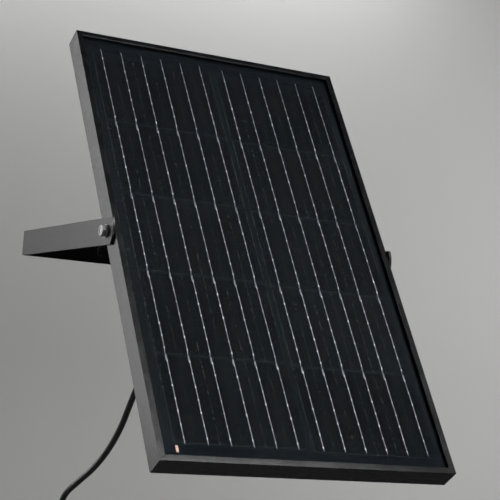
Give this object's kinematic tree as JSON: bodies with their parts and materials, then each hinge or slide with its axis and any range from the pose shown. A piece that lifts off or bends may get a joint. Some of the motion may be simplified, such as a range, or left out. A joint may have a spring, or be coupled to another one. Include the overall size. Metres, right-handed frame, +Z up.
{
  "type": "solar panel on wall bracket",
  "caption": "Black-framed solar panel of a flood light set, tilting between the arms of a U-shaped wall bracket, with a junction box behind and a coiled lead that ends in a round plug.",
  "frame": {"origin": "centre of the bracket's back face, on the wall", "axes": "+X right seen from the front, +Y into the wall, +Z up"},
  "size_m": [0.2482, 0.332, 0.5049],
  "materials": {
    "bracket": "fine satin black powder coat, reflecting grey",
    "dark_screw": "black zinc-plated steel",
    "frame": "black anodised, satin, fine grain along the rail",
    "raw_aluminium": "mill finish",
    "black_rubber": "matte",
    "front_glass": "clear tempered glass, low reflection",
    "clear_film": "clear laminating film",
    "solar_cell": "near-black monocrystalline silicon with fine grid lines",
    "tinned_ribbon": "tinned copper ribbon, bright",
    "black_film": "black film, slightly glossy behind the glass",
    "copper": "bare copper",
    "silicone": "cured silicone bead",
    "box_plastic": "fine moulded texture",
    "bright_steel": "zinc-plated, bright",
    "black_plastic": "satin moulded nylon",
    "wire_insulation": "smooth insulation",
    "cable_jacket": "satin black jacket",
    "tie_nylon": "moulded nylon",
    "nickel": "nickel plate"
  },
  "bodies": {
    "bracket": {"u_bracket": "bracket", "wall_screws": "dark_screw", "wall_washers": "dark_screw"},
    "panel": {"frame_rail_left": "frame", "frame_rail_right": "frame", "frame_rail_top": "frame", "frame_rail_bottom": "frame", "corner_keys": "raw_aluminium", "edge_tape": "black_rubber", "front_glass": "front_glass", "front_encapsulant": "clear_film", "cells_left": "solar_cell", "cells_right": "solar_cell", "tab_ribbons": "tinned_ribbon", "collector_ribbons": "black_film", "ribbon_cover": "black_film", "copper_tab": "copper", "rear_encapsulant": "clear_film", "back_sheet": "black_film", "box_adhesive": "silicone", "junction_box_base": "box_plastic", "box_gasket": "black_rubber", "junction_box_lid": "box_plastic", "lid_screws": "bright_steel", "terminal_block": "box_plastic", "terminal_clips": "bright_steel", "blocking_diode": "black_plastic", "output_tails": "tinned_ribbon", "inner_wires": "wire_insulation", "gland_body": "black_plastic", "gland_seal": "black_rubber", "gland_nut": "black_plastic", "cable_boot": "black_rubber", "pivot_bolts": "bright_steel", "pivot_washers": "bright_steel", "pivot_nuts": "bright_steel", "cable_lead": "cable_jacket", "cable_coil": "cable_jacket", "cable_tail": "cable_jacket", "cable_ties": "tie_nylon", "plug_grip": "cable_jacket", "plug_barrel": "nickel", "plug_insulator": "black_plastic"}
  },
  "joints": [
    {"name": "tilt", "type": "hinge", "parent": "bracket", "child": "panel", "pos_m": [0, -0.183, 0], "axis": [1, 0, 0], "range_deg": [-30.6, 49.4]}
  ]
}
